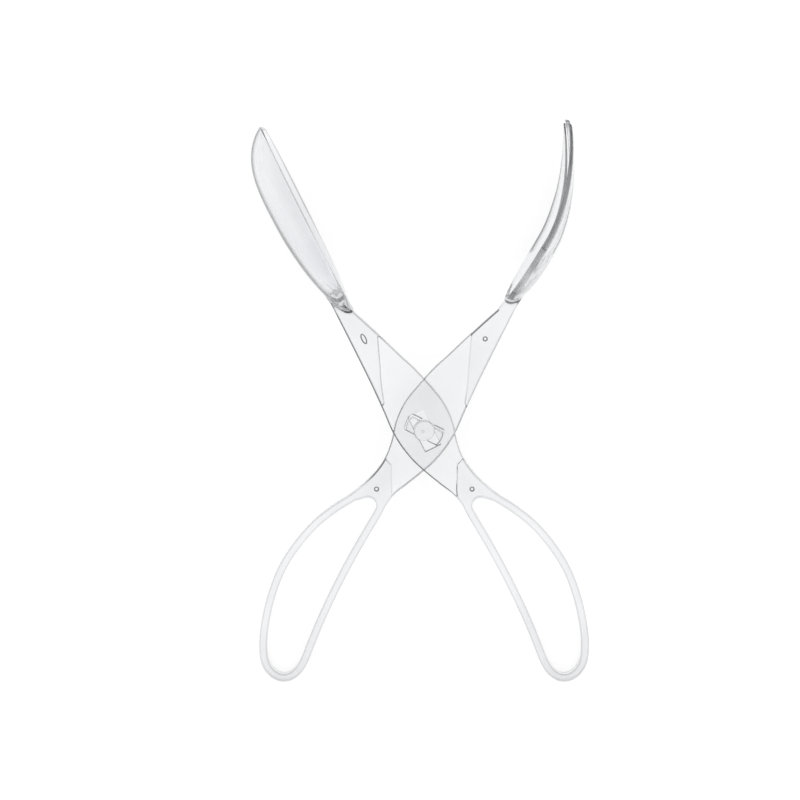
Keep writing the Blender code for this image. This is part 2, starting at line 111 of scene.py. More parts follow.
BLEND_SPACING = 0.0006
BLEND_ROUNDS = 4
BLEND_LEAST_WAY = 0.2
GRID_CLEAR_SHARE = 0.6
SAME_POINT = 1e-9
ON_SURFACE = 1e-6

OUTER_NECK_SHARES = ((-0.91, 1.05), (-0.905, 0.75), (-0.91, 0.47), (-0.945, 0.25), (-0.985, 0.10))
OUTER_WAIST_SHARES = ((-0.94, -0.05), (-0.80, -0.29), (-0.59, -0.50), (-0.33, -0.72), (-0.09, -0.91))
LOOP_SHARES = (
    (0.006, 0.03), (0.012, 0.10), (0.037, 0.21), (0.058, 0.34), (0.066, 0.49), (0.054, 0.645), (0.026, 0.775),
    (0.004, 0.865), (0.030, 0.929), (0.122, 0.977), (0.279, 1.000), (0.452, 0.992), (0.612, 0.956),
    (0.748, 0.885), (0.864, 0.787), (0.959, 0.661), (1.003, 0.525), (0.966, 0.393), (0.864, 0.262),
    (0.704, 0.148), (0.520, 0.049),
)
INNER_WAIST_SHARES = ((0.945, -0.89), (0.80, -0.68), (0.766, -0.50), (0.84, -0.29), (0.975, -0.10))
INNER_NECK_SHARES = (
    (1.02, 0.04), (1.00, 0.135), (0.90, 0.235), (0.77, 0.335), (0.625, 0.435), (0.43, 0.54), (0.24, 0.65),
    (0.045, 0.76), (-0.12, 0.85), (-0.27, 0.93), (-0.38, 0.985),
)


def scaled(shares, width, length):
    return [Vector((across * width, along * length)) for across, along in shares]


outer_neck = scaled(OUTER_NECK_SHARES, ARM_HALF_WIDTH, NECK_LENGTH)
outer_neck.insert(0, Vector((outer_neck[0].x, NECK_LENGTH + NECK_SEAT - NECK_END_RADIUS)))
outer_waist = scaled(OUTER_WAIST_SHARES, ARM_HALF_WIDTH, WAIST_LENGTH)
loop = [Vector((p.x, -WAIST_LENGTH - p.y)) for p in scaled(LOOP_SHARES, LOOP_WIDTH, LOOP_LENGTH)]
inner_waist = scaled(INNER_WAIST_SHARES, ARM_HALF_WIDTH, WAIST_LENGTH)
inner_neck = scaled(INNER_NECK_SHARES, ARM_HALF_WIDTH, NECK_LENGTH)


def smooth_curve(points):
    """Points on a curve through the given ones, closely spaced."""
    found = []
    for i in range(len(points) - 1):
        before = points[max(i - 1, 0)]
        start, end = points[i], points[i + 1]
        after = points[min(i + 2, len(points) - 1)]
        pieces = max(1, round((end - start).length / SPACING))
        for k in range(pieces):
            t = k / pieces
            linear = 2 * start + (end - before) * t
            square = (2 * before - 5 * start + 4 * end - after) * t**2
            cube = (3 * start - before - 3 * end + after) * t**3
            found.append(0.5 * (linear + square + cube))
    return [*found, points[-1]]


def arc(centre, radius, start, end):
    """Points from the start angle to the end angle, in degrees."""
    turn = math.radians(end - start)
    by_length = math.ceil(abs(turn) * radius / SPACING)
    pieces = max(ARC_LEAST_STEPS, by_length, math.ceil(abs(turn) / ARC_STEP))
    angles = [math.radians(start) + turn * i / pieces for i in range(pieces + 1)]
    return [Vector((centre[0] + radius * math.cos(a), centre[1] + radius * math.sin(a))) for a in angles]


def circle(radius):
    return arc((0, 0), radius, 0, 360)[:-1]


def offset(points, distance, closed=True):
    """The same outline moved to the left of its direction of travel."""
    moved = []
    count = len(points)
    for i, point in enumerate(points):
        before = points[i - 1] if closed or i else point
        after = points[(i + 1) % count] if closed or i + 1 < count else point
        along = (after - before).normalized()
        moved.append(point + distance * Vector((-along.y, along.x)))
    return moved


def rounding(radius):
    """Steps round a quarter circle: how far up it and how far in, from its foot."""
    turns = [math.pi / 2 * i / ROUNDING_STEPS for i in range(ROUNDING_STEPS + 1)]
    return [(radius * math.sin(a), radius * (1 - math.cos(a))) for a in turns]


def top_levels(top, radius):
    """Heights up a body's round upper edge, each with how far the plan is drawn in there."""
    return [(top - radius + up, drawn_in) for up, drawn_in in rounding(radius)]


def plate_levels(bottom, top, radius):
    """Heights up a plate with round edges below and above."""
    low = [(bottom + radius - up, drawn_in) for up, drawn_in in reversed(rounding(radius))]
    return [*low, *top_levels(top, radius)]


def mouth_levels(mouth, way, radius):
    """Heights of a cutter that leaves a round edge where it comes out, upwards at 1 or downwards at -1."""
    edge = [(mouth - way * (radius - up), -drawn_in) for up, drawn_in in rounding(radius)]
    return [*edge, (mouth + way * OVERRUN, -radius)]


def pocket_levels(floor, mouth, radius):
    """Heights of a cutter that leaves a round corner at its floor and a round edge at its mouth."""
    way = math.copysign(1, mouth - floor)
    low = [(floor + way * (radius - up), drawn_in) for up, drawn_in in reversed(rounding(radius))]
    levels = [*low, *mouth_levels(mouth, way, radius)]
    return levels if way > 0 else levels[::-1]


def new_object(name, bm):
    bmesh.ops.recalc_face_normals(bm, faces=bm.faces)
    mesh = bpy.data.meshes.new(name)
    bm.to_mesh(mesh)
    bm.free()
    made = bpy.data.objects.new(name, mesh)
    bpy.context.scene.collection.objects.link(made)
    return made


def filled(outlines, grid=()):
    """Triangles that fill the first outline around the others, through the grid's points as well."""
    points = []
    plans = []
    for outline in outlines:
        plan = list(range(len(points), len(points) + len(outline)))
        plans.append(plan if not plans else plan[::-1])
        points += outline
    _, _, faces, origins, _, plans_of = delaunay_2d_cdt([*points, *grid], [], plans, 1, SAME_POINT)
    places = [origin[0] for origin in origins]
    return [tuple(places[i] for i in face) for face, plan in zip(faces, plans_of) if plan == [0]]


def slab(name, levels, outline, hole=None, grid=()):
    """A body with a plan that is drawn in by its own distance at each of the levels."""
    bm = bmesh.new()
    loops = [outline] if hole is None else [outline, hole[::-1]]
    rows = []
    for height, drawn_in in levels:
        rows.append([[bm.verts.new((*p, height)) for p in offset(points, drawn_in)] for points in loops])
    for lower, upper in zip(rows, rows[1:]):
        for a, b in zip(lower, upper):
            for i in range(len(a)):
                bm.faces.new((a[i - 1], a[i], b[i], b[i - 1]))
    for row, (height, _) in ((rows[0], levels[0]), (rows[-1], levels[-1])):
        verts = [v for ring in row for v in ring] + [bm.verts.new((*p, height)) for p in grid]
        for face in filled([[v.co.xy for v in ring] for ring in row], grid):
            bm.faces.new([verts[i] for i in face])
    return new_object(name, bm)


def combine(target, operation, *tools):
    """Joins the tools to the target, or cuts them out of it, for good."""
    for tool in tools:
        change = target.modifiers.new(operation, "BOOLEAN")
        change.operation = operation
        change.solver = "MANIFOLD"
        change.object = tool
    bpy.context.view_layer.update()
    result = bpy.data.meshes.new_from_object(target.evaluated_get(bpy.context.evaluated_depsgraph_get()))
    target.modifiers.clear()
    target.data = result
    for tool in tools:
        bpy.data.objects.remove(tool)


def arm_outline(root):
    return [*smooth_curve([*outer_neck, *outer_waist, *loop, *inner_waist, *inner_neck]), *root]


def hole_outline():
    """The finger hole: the loop's own edge moved in by the bar's width, and a round crotch at the top."""
    centre = Vector((loop[0].x + BAR_WIDTH + CROTCH_RADIUS, -WAIST_LENGTH - CROTCH_DEPTH - CROTCH_RADIUS))
    edge = smooth_curve([outer_waist[-1], *loop, inner_waist[0]])
    moved = offset(edge, BAR_WIDTH, closed=False)
    sides = [p for p in moved if p.y < centre.y and (p - centre).length > CROTCH_RADIUS + SPACING / 2]
    last = sides[-1] - centre
    start = math.degrees(math.atan2(last.y, last.x) + math.acos(CROTCH_RADIUS / last.length))
    return [*sides, *arc(centre, CROTCH_RADIUS, start, 180)]


def mate_edge(points):
    """A stretch of the mate's plan with the steps' clearance outside it, where the closed tongs put it."""
    moved = offset(smooth_curve(points), -STEP_CLEARANCE, closed=False)
    turn = Matrix.Rotation(-STOP_ANGLE, 2)
    return [turn @ Vector((-p.x, p.y)) for p in reversed(moved)]


def pocket_outline():
    """Where the mate lies over this arm when the tongs are closed, and a round clearing about the pivot."""
    neck_step = [p for p in mate_edge(inner_neck) if p.length > POCKET_RADIUS]
    waist_step = [p for p in mate_edge([*outer_waist, *loop[:2]]) if p.length > POCKET_RADIUS]
    left = math.degrees(math.atan2(neck_step[-1].y, neck_step[-1].x))
    right = math.degrees(math.atan2(waist_step[-1].y, waist_step[-1].x))
    return [
        *neck_step,
        *arc((0, 0), POCKET_RADIUS, left, 180)[1:],
        Vector((-POCKET_RADIUS, waist_step[0].y)),
        *waist_step,
        *arc((0, 0), POCKET_RADIUS, right, 0)[1:],
        Vector((POCKET_RADIUS, neck_step[0].y)),
    ]


def mark(across, along, half_length):
    """The cutter for the shallow mark that an ejector pin of the mould leaves."""
    stretch = half_length / MARK_RADIUS
    outline = [Vector((across + p.x, along + p.y * stretch)) for p in circle(MARK_RADIUS)]
    top = PLATE_THICKNESS / 2
    levels = [(top - MARK_DEPTH, MARK_SLOPE), (top, 0), (top + OVERRUN, 0)]
    return slab("mark", levels, outline)


def grid_inside(outline, spacing, low, high):
    """Evenly spaced points inside an outline, between two places along it, clear of its edge."""
    edge = np.array([p[:] for p in outline])
    after = np.roll(edge, -1, axis=0)
    points = []
    shift = 0.0
    for row in np.arange(low, high, spacing * math.sqrt(3) / 2):
        across = np.arange(edge[:, 0].min() + shift, edge[:, 0].max(), spacing)[:, None]
        shift = spacing / 2 - shift
        passes = (edge[:, 1] > row) != (after[:, 1] > row)
        slope = (after[passes, 0] - edge[passes, 0]) / (after[passes, 1] - edge[passes, 1])
        crossings = (across < edge[passes, 0] + (row - edge[passes, 1]) * slope).sum(axis=1)
        clear = np.hypot(across - edge[:, 0], row - edge[:, 1]).min(axis=1) > spacing * GRID_CLEAR_SHARE
        inside = crossings % 2 == 1
        points += [Vector((x, row)) for x in across[inside & clear, 0]]
    return points


def arm_plate(name, root, keep_top, neck_mark_length):
    """An arm's plate with its finger hole, its marks and the half taken out where the mate crosses it."""
    half = PLATE_THICKNESS / 2
    outline = arm_outline(root)
    drawn = offset(outline, EDGE_RADIUS)
    grid = grid_inside(drawn, BLEND_SPACING, NECK_LENGTH - BLEND_RADIUS * 2, NECK_LENGTH + NECK_SEAT)
    plate = slab(name, plate_levels(-half, half, EDGE_RADIUS), outline, hole_outline(), grid)
    floor, mouth = (LAP_GAP / 2, -half) if keep_top else (-LAP_GAP / 2, half)
    pocket = slab("pocket", pocket_levels(floor, mouth, STEP_RADIUS), pocket_outline())
    marks = [mark(*NECK_MARK, neck_mark_length), mark(*HANDLE_MARK, MARK_RADIUS)]
    combine(plate, "DIFFERENCE", pocket, *marks)
    return plate


def superellipse(angle, toward_tip, toward_heel, half_width, tip_power, heel_power):
    """A point of a head's plan, along and across its widest place, at an angle from its long axis."""
    along, across = math.cos(angle), math.sin(angle)
    power, reach = (tip_power, toward_tip) if along > 0 else (heel_power, toward_heel)
    return Vector((
        math.copysign(reach * abs(along) ** (2 / power), along),
        math.copysign(half_width * abs(across) ** (2 / power), across),
    ))


def ring_body(name, rings, start, end):
    """A closed body through rings of points, closed by one point at each end."""
    bm = bmesh.new()
    first, last = bm.verts.new(start), bm.verts.new(end)
    rows = [[bm.verts.new(p) for p in ring] for ring in rings]
    for i in range(len(rows[0])):
        bm.faces.new((first, rows[0][i - 1], rows[0][i]))
        bm.faces.new((last, rows[-1][i], rows[-1][i - 1]))
    for a, b in zip(rows, rows[1:]):
        for i in range(len(a)):
            bm.faces.new((a[i - 1], b[i - 1], b[i], a[i]))
    return new_object(name, bm)


def rim_plan(angle, inward):
    """A point between the spoon rim's outer edge at 0 and its inner edge at 1, from the widest place."""
    toward_tip = SPOON_TIP - SPOON_WIDEST
    outer = superellipse(angle, toward_tip, SPOON_WIDEST - SPOON_HEEL, HEAD_HALF_WIDTH,
                         SPOON_TIP_POWER, SPOON_HEEL_POWER)
    inner = superellipse(angle, toward_tip - SPOON_WALL, SPOON_WIDEST - SPOON_HOLLOW_HEEL,
                         HEAD_HALF_WIDTH - SPOON_WALL, SPOON_TIP_POWER, SPOON_HEEL_POWER)
    return outer.lerp(inner, inward)


def bowl_fall(share, angle):
    """How much of its depth the bowl has left, at a share of the way from its deepest place to the rim."""
    toward_tip = 0.5 + 0.5 * math.cos(angle)
    power = SPOON_HEEL_FALL[0] + (SPOON_TIP_FALL[0] - SPOON_HEEL_FALL[0]) * toward_tip
    bend = SPOON_HEEL_FALL[1] + (SPOON_TIP_FALL[1] - SPOON_HEEL_FALL[1]) * toward_tip
    return max(0.0, 1 - share**power) ** bend


def bowl_ring(share, inward, depth):
    """One ring of the bowl's outer or inner face."""
    ring = []
    for i in range(SPOON_SPOKES):
        angle = math.tau * i / SPOON_SPOKES
        plan = share * rim_plan(angle, inward)
        drop = depth * bowl_fall(share, angle)
        ring.append((-RIM_OFFSET - SPOON_WALL / 2 - drop, SPOON_WIDEST + plan.x, plan.y))
    return ring


def lip_ring(turn):
    """One ring of the bowl's round lip, from its outer edge at 0 to its inner edge at half a turn."""
    ring = []
    for i in range(SPOON_SPOKES):
        plan = rim_plan(math.tau * i / SPOON_SPOKES, (1 - math.cos(turn)) / 2)
        ring.append((-RIM_OFFSET - SPOON_WALL / 2 * (1 - math.sin(turn)), SPOON_WIDEST + plan.x, plan.y))
    return ring


def spoon_bowl():
    shares = [math.sin(math.pi / 2 * (i + 1) / (SPOON_RINGS + 1)) for i in range(SPOON_RINGS)]
    outer_depth = SPOON_DEPTH - SPOON_WALL / 2
    inner_depth = outer_depth - SPOON_WALL
    rings = [bowl_ring(share, 0, outer_depth) for share in shares]
    rings += [lip_ring(math.pi * i / LIP_STEPS) for i in range(LIP_STEPS + 1)]
    rings += [bowl_ring(share, 1, inner_depth) for share in reversed(shares)]
    rim = -RIM_OFFSET - SPOON_WALL / 2
    start, end = ((rim - depth, SPOON_WIDEST, 0) for depth in (outer_depth, inner_depth))
    return ring_body("bowl", rings, start, end)


def neck_end(side):
    """The neck's end, hidden inside its head: along the head's inner side, and round to the outer side."""
    radius = NECK_END_RADIUS
    centre = Vector((outer_neck[0].x + radius, outer_neck[0].y))
    flank = smooth_curve([inner_neck[-1], *side, Vector((centre.x + radius, centre.y))])
    return [*flank[1:-1], *arc(centre, radius, 0, 180)[:-1]]


def spoon_root():
    """The neck's end, inside the solid heel of the bowl."""
    side = []
    for share, depth_share in SPOON_ROOT_SHARES:
        along = SPOON_WIDEST + share * rim_plan(math.pi, 0).x
        drop = (SPOON_DEPTH - SPOON_WALL / 2) * bowl_fall(share, math.pi) * depth_share
        side.append(Vector((-RIM_OFFSET - SPOON_WALL / 2 - drop, along)))
    return neck_end(side)


def surface_of(piece):
    bm = bmesh.new()
    bm.from_mesh(piece.data)
    tree = BVHTree.FromBMesh(bm)
    bm.free()
    return tree


def clearance(tree, point):
    """The distance from a point to a body's surface, negative inside it, and the way out."""
    place, normal, _, distance = tree.find_nearest(point)
    outward = point - place
    side = 1 if outward.dot(normal) >= 0 else -1
    way = outward.normalized() * side if distance > ON_SURFACE else normal
    return distance * side, way


def join_with_fillet(plate, head):
    """Joins a head to its plate, and fills the corner between them with a round of moulded plastic. Places
    near both surfaces move out to where the cubic smooth minimum of the two distances is zero."""
    surfaces = (surface_of(plate), surface_of(head))
    combine(plate, "UNION", head)
    bm = bmesh.new()
    bm.from_mesh(plate.data)
    bmesh.ops.triangulate(bm, faces=bm.faces)
    for v in bm.verts:
        if v.co.y < BLEND_START:
            continue
        for _ in range(BLEND_ROUNDS):
            (a, way_a), (b, way_b) = (clearance(tree, v.co) for tree in surfaces)
            near = max(BLEND_RADIUS - abs(a - b), 0.0) / BLEND_RADIUS
            if not near:
                break
            field = min(a, b) - near**3 * BLEND_RADIUS / 6
            share = near**2 / 2
            way = way_a * (1 - share) + way_b * share if a < b else way_b * (1 - share) + way_a * share
            if way.length < BLEND_LEAST_WAY:
                break
            v.co -= way.normalized() * field
    bm.to_mesh(plate.data)
    bm.free()


def keyhole_outline(radius, half_length, half_width):
    """A round hole with a straight slot across it, along the arm."""
    side = math.degrees(math.acos(half_width / radius))
    return [
        *arc((0, 0), radius, -side, side),
        Vector((half_width, half_length)),
        Vector((-half_width, half_length)),
        *arc((0, 0), radius, 180 - side, 180 + side),
        Vector((-half_width, -half_length)),
        Vector((half_width, -half_length)),
    ]


spoon_arm = arm_plate("spoon_arm_moulding", spoon_root(), True, MARK_LENGTH)
join_with_fillet(spoon_arm, spoon_bowl())
top = PLATE_THICKNESS / 2
slot_half_length = LUG_REACH + LUG_CLEARANCE
slot_half_width = LUG_WIDTH / 2 + LUG_CLEARANCE
keyhole = keyhole_outline(BOSS_RADIUS + BOSS_CLEARANCE, slot_half_length, slot_half_width)
keyhole_levels = [(-OVERRUN, 0), *mouth_levels(top, 1, RIM_RADIUS)]
combine(spoon_arm, "DIFFERENCE", slab("keyhole", keyhole_levels, keyhole))


def srgb(code):
    """The linear colour for a hex code."""
    parts = [int(code[i:i + 2], 16) / 255 for i in (1, 3, 5)]
    return (*(c / 12.92 if c <= 0.04045 else ((c + 0.055) / 1.055) ** 2.4 for c in parts), 1.0)


def add_node(owner, kind, settings=None, links=None):
    """Adds a node: its own settings, values for its inputs, and links from other nodes' outputs. An input is
    given by its name, or by its number where several inputs share a name."""
    node = owner.node_tree.nodes.new(kind)
    for name, value in (settings or {}).items():
        if isinstance(name, str) and hasattr(node, name):
            setattr(node, name, value)
        else:
            node.inputs[name].default_value = value
    for name, source in (links or {}).items():
        owner.node_tree.links.new(source, node.inputs[name])
    return node


MELT_SPAN = 0.025
MELT_RANGE = (0.35, 0.65)
MELT_TINTS = ("#f3f4f6", "#f9fafb")
RIPPLE_SPAN = 0.006
SPOON_RIPPLE = 0.000005
RUB_SPAN = 0.0004
# The dark grey of the painted shade on the edges and the outline.
PAINTED_EDGE_SHADE = "#3c3d40"
EDGE_ROUGHNESS = 0.12
WHITE = (1, 1, 1, 1)
MIX_FACTOR = 0
MIX_FIRST = 6
MIX_SECOND = 7
MIX_RESULT = 2


def moulded_clear_polystyrene(name, seed, ripple_height):
    """General-purpose polystyrene, injection moulded in a polished mould. It is as clear as glass and bends
    light as strongly. The flow of the melt leaves its tint a little uneven over some 25 mm, and its skin has
    ripples of about 6 mm and fine rub marks of 0.4 mm. Its mass takes up a little light, so it greys where it
    is looked through lengthwise.

    A real edge shows whatever dark thing lies to the side. The room here is white all round, so the edges and
    the outline are given painted shade instead: a dark colour, and a dark tint on their reflections, as
    strong as the mesh's "edge" and "outline" values say. The faces that meet in the lap are painted lighter,
    by a mesh value of their own, to offset the grey of the light passing four surfaces there."""
    material = bpy.data.materials.new(name)
    material.use_nodes = True
    material.node_tree.nodes.clear()
    place = add_node(material, "ShaderNodeTexCoord").outputs["Object"]
    melt = add_node(
        material, "ShaderNodeTexNoise",
        {"noise_dimensions": "4D", "Scale": 1 / MELT_SPAN, "Detail": 2.0, "W": seed}, {"Vector": place},
    )
    tint = add_node(material, "ShaderNodeValToRGB", links={"Fac": melt.outputs["Fac"]})
    for stop, position, code in zip(tint.color_ramp.elements, MELT_RANGE, MELT_TINTS):
        stop.position = position
        stop.color = srgb(code)
    ripple = add_node(
        material, "ShaderNodeTexNoise", {"Scale": 1 / RIPPLE_SPAN, "Detail": 1.0}, {"Vector": place},
    )
    skin = add_node(
        material, "ShaderNodeBump",
        {"Strength": 1.0, "Distance": ripple_height}, {"Height": ripple.outputs["Fac"]},
    )
    rub = add_node(material, "ShaderNodeTexNoise", {"Scale": 1 / RUB_SPAN, "Detail": 3.0}, {"Vector": place})
    gloss = add_node(
        material, "ShaderNodeMapRange",
        {"From Min": 0.35, "From Max": 0.75, "To Min": 0.015, "To Max": 0.06}, {"Value": rub.outputs["Fac"]},
    )
    edge, outline, lap_painted_light = (
        add_node(material, "ShaderNodeAttribute", {"attribute_name": stored}).outputs["Fac"]
        for stored in ("edge", "outline", "lap_painted_light")
    )
    # Painted shade at the outline: the colour darkens where a face is seen at a grazing angle.
    facing = add_node(material, "ShaderNodeLayerWeight", {"Blend": 0.5}).outputs["Facing"]
    grazing = add_node(
        material, "ShaderNodeMapRange", {"From Min": 0.45, "From Max": 1.0}, {"Value": facing},
    ).outputs["Result"]
    silhouette = add_node(material, "ShaderNodeMath", {"operation": "MULTIPLY"}, {0: grazing, 1: grazing})
    outlined = add_node(
        material, "ShaderNodeMath", {"operation": "MULTIPLY"}, {0: silhouette.outputs["Value"], 1: outline},
    )
    darker = add_node(
        material, "ShaderNodeMath", {"operation": "MAXIMUM"}, {0: outlined.outputs["Value"], 1: edge},
    ).outputs["Value"]
    # Painted lightening: the faces that meet in the lap are mixed towards white.
    clear = add_node(
        material, "ShaderNodeMix", {"data_type": "RGBA", MIX_SECOND: WHITE},
        {MIX_FACTOR: lap_painted_light, MIX_FIRST: tint.outputs["Color"]},
    )
    # Painted shade on the edges: the base colour is darkened towards the dark grey.
    base_with_painted_shade = add_node(
        material, "ShaderNodeMix", {"data_type": "RGBA", MIX_SECOND: srgb(PAINTED_EDGE_SHADE)},
        {MIX_FACTOR: darker, MIX_FIRST: clear.outputs[MIX_RESULT]},
    )
    # Painted dark reflection: the gloss on the edges is tinted the same dark grey.
    mirrored = add_node(
        material, "ShaderNodeMix", {"data_type": "RGBA", MIX_FIRST: WHITE, MIX_SECOND: srgb(PAINTED_EDGE_SHADE)},
        {MIX_FACTOR: darker},
    )
    dulled = add_node(
        material, "ShaderNodeMath", {"operation": "MULTIPLY_ADD", 1: EDGE_ROUGHNESS},
        {0: edge, 2: gloss.outputs["Result"]},
    )
    shader = add_node(
        material, "ShaderNodeBsdfPrincipled", {"Transmission Weight": 1.0, "IOR": 1.59, "Metallic": 0.0},
        {
            "Base Color": base_with_painted_shade.outputs[MIX_RESULT],
            "Specular Tint": mirrored.outputs[MIX_RESULT],
            "Roughness": dulled.outputs["Value"],
            "Normal": skin.outputs["Normal"],
        },
    )
    mass = add_node(
        material, "ShaderNodeVolumeAbsorption", {"Color": (0.25, 0.265, 0.30, 1), "Density": 11.0},
    )
    add_node(
        material, "ShaderNodeOutputMaterial",
        links={"Surface": shader.outputs["BSDF"], "Volume": mass.outputs["Volume"]},
    )
    return material


joint = frame["joints"][0]
down = Vector(joint["axis"]).to_track_quat("-Z", "Y")
pivot = Matrix.Translation(joint["pos_m"]) @ down.to_matrix().to_4x4()


def limited(value):
    return min(1.0, max(0.0, value))


def tree_of(points):
    tree = KDTree(len(points))
    for i, point in enumerate(points):
        tree.insert(point, i)
    tree.balance()
    return tree


# The painted shade on an arm's edges, and the zones round the pivot that get their own amount of it.
FLAT_NORMAL = 0.995
FLAT_FADE = 0.1
FLAT_FACE = 0.999
WALL_NORMAL = 0.05
WALL_DARKNESS = 0.12
WALL_FADE = 0.35
GATE_ZONE = BOSS_RADIUS * 0.35
BOSS_ZONE = BOSS_RADIUS * 1.05
BOSS_DARKNESS = 0.25
LUG_ZONE = LUG_REACH * 1.2
LUG_DARKNESS = 0.45
# The shading values make the painted shade heavier on one side of the lugs and on the plates' left edges.
LUG_SHADING = 1.3
MARK_ZONE = MARK_LENGTH * 1.5
STEP_DARKNESS = 0.2
BAR_DARKNESS = 0.3
PLATE_DARKNESS = 1.0
PLATE_SHADING = 0.9
HEAD_DARKNESS = 0.85
HEAD_SPREAD = 1.4
HEAD_FADE_POWER = 1.2
BACK_START = 0.5
BACK_FADE = 0.4
PLATE_OUTLINE_SHADE = 0.3
SPOON_BACK_SHADE = 3.0
# How much lighter the faces that meet in the lap are painted.
LAP_PAINTED_LIGHT = 0.4


def paint_edge_shade(arm, turn, head_edge, reach, back):
    """Stores how much painted shade each place of an arm gets, in place of the dark surroundings that a real
    edge shows. "edge" is 0 on its faces, and up to 1 on the rounds of its plate and within reach of its
    head's edge. "outline" says how much painted shade a place gets where it is seen at a grazing angle, with
    a strength of its own for the head's back. A third value marks the faces that meet in the lap, which are
    painted lighter."""
    head = tree_of(head_edge)
    side = math.copysign(1, turn)
    rim = tree_of([Vector((side * p.x, p.y, 0)) for p in [*arm_outline([]), *hole_outline()]])
    marks = [Vector((side * x, y)) for x, y in (NECK_MARK, HANDLE_MARK)]
    laid = Matrix.Rotation(turn, 3, "Z")

    def steep(normal, place):
        """How much a place of the plate lies on an edge, times its painted shade. The painted shade is
        one-sided:
        left edges and the pivot's lower ones are darker.
        """
        upward = abs(normal.z)
        slope = limited(min((FLAT_NORMAL - upward) / FLAT_FADE, WALL_DARKNESS + upward / WALL_FADE))
        from_pivot = place.xy.length
        on_mark = any((place.xy - middle).length < MARK_ZONE for middle in marks)
        if on_mark or from_pivot < GATE_ZONE:
            return slope
        if from_pivot < BOSS_ZONE:
            return slope * BOSS_DARKNESS
        # One-sided painted shade: round the lugs and on the plate's edges, faces turned one way are drawn
        # darker.
        facing = laid @ normal
        if from_pivot < LUG_ZONE:
            return limited(slope * (LUG_DARKNESS + LUG_SHADING * side * facing.y))
        if rim.find((place.x, place.y, 0))[2] > EDGE_RADIUS:
            return slope * STEP_DARKNESS
        on_plate = limited((place.y + WAIST_LENGTH) / NECK_SEAT)
        darkness = BAR_DARKNESS + (PLATE_DARKNESS - BAR_DARKNESS - PLATE_SHADING * facing.x) * on_plate
        return limited(slope * darkness)

    outline = arm.data.attributes.new("outline", "FLOAT", "POINT")
    places = []
    for v, normal in zip(arm.data.vertices, arm.data.vertex_normals):
        on_head = limited((v.co.y - NECK_LENGTH) / NECK_SEAT)
        near = limited(HEAD_SPREAD - head.find(v.co)[2] / reach)
        near *= limited(abs(v.co.z) / HEAD_HALF_WIDTH) ** HEAD_FADE_POWER
        behind = back * limited(BACK_START - side * normal.vector.x / BACK_FADE)
        outline.data[v.index].value = PLATE_OUTLINE_SHADE + (behind - PLATE_OUTLINE_SHADE) * on_head
        places.append((steep(normal.vector, v.co), on_head, near * HEAD_DARKNESS))
    edge = arm.data.attributes.new("edge", "FLOAT", "CORNER")
    lap_painted_light = arm.data.attributes.new("lap_painted_light", "FLOAT", "FACE")
    for face in arm.data.polygons:
        flat = abs(face.normal.z) > FLAT_FACE
        wall = abs(face.normal.z) < WALL_NORMAL
        # Painted lightening on the faces that meet in the lap.
        if flat and abs(face.center.z) < LAP_GAP:
            lap_painted_light.data[face.index].value = LAP_PAINTED_LIGHT
        own = steep(face.normal, face.center)
        for i in face.loop_indices:
            slope, on_head, near = places[arm.data.loops[i].vertex_index]
            on_plate = 0 if flat else own if wall else max(slope, own)
            edge.data[i].value = near * on_head + on_plate * (1 - on_head)


SHARP_ANGLE = math.radians(40)
FLAT_WEIGHT = 80


def place_arm(arm, turn, node, material):
    """Turns an arm to its place at rest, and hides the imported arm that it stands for."""
    arm.data.materials.clear()
    arm.data.materials.append(material)
    arm.data.shade_smooth()
    arm.data.set_sharp_from_angle(angle=SHARP_ANGLE)
    arm.data.transform(pivot @ Matrix.Rotation(turn, 4, "Z"))
    weigh = arm.modifiers.new("even_flats", "WEIGHTED_NORMAL")
    weigh.keep_sharp = True
    weigh.weight = FLAT_WEIGHT
    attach(arm, node)
    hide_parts(node)


spoon_lip = [Vector(p) for p in lip_ring(math.pi / 2)]
paint_edge_shade(spoon_arm, REST_ANGLE / 2, spoon_lip, SPOON_WALL / 2, SPOON_BACK_SHADE)
spoon_plastic = moulded_clear_polystyrene("clear_moulded_polystyrene_spoon", 0.0, SPOON_RIPPLE)
place_arm(spoon_arm, REST_ANGLE / 2, "spoon_arm", spoon_plastic)

# The fork arm
# The lower arm is the spoon arm's mate in the same plastic: its four tines and palm are one curved sheet with
# rounded edges. The boss with two lugs locks over the spoon arm's plate, and the windows under the lugs are
# where the mould's cores stood. A small dot on the boss is the stub of the gate.
LUG_THICKNESS = 0.0018
LUG_GAP = 0.0003
LUG_RADIUS = 0.0007
BOSS_RISE = 0.0003
WINDOW_LEDGE = 0.0003
GATE_RADIUS = 0.0006
GATE_HEIGHT = 0.0002
GATE_PLACE = (0.00055, -0.00042)
FORK_HEEL = NECK_LENGTH + 0.0048
FORK_DEEPEST = FORK_HEEL + 0.0192
FORK_RIM_LOWEST = FORK_HEEL + 0.0322
FORK_WIDEST = FORK_HEEL + 0.0402
FORK_TIP = FORK_HEEL + 0.0787
FORK_DEPTH = 0.00835
FORK_RIM_DIP = 0.00795
FORK_TIP_RISE = 0.01325
FORK_HEEL_RISE = 0.00275
FORK_THICKNESS = 0.0026
TINE_TIP_THICKNESS = 0.0015
FORK_EDGE_RADIUS = 0.0006
PALM_LENGTH = 0.0222
PALM_SIDE_LENGTH = 0.0264
TINE_COUNT = 4
TINE_SPACING = 0.0124
OUTER_TINE_PLACE = (TINE_COUNT - 1) / 2 * TINE_SPACING
TINE_ROOT_WIDTH = 0.0096
TINE_TIP_WIDTH = 0.0062
TINE_POINT_LENGTH = 0.0090
TINE_END_LENGTH = 0.0012
FORK_TIP_POWER = 5.0
FORK_HEEL_POWER = 2.3
FORK_TIP_FALL = (1.7, 1.1)
FORK_HEEL_FALL = (2.0, 0.5)
FORK_RIM_TIP_POWER = 2.0
FORK_RIM_HEEL_POWER = 1.2
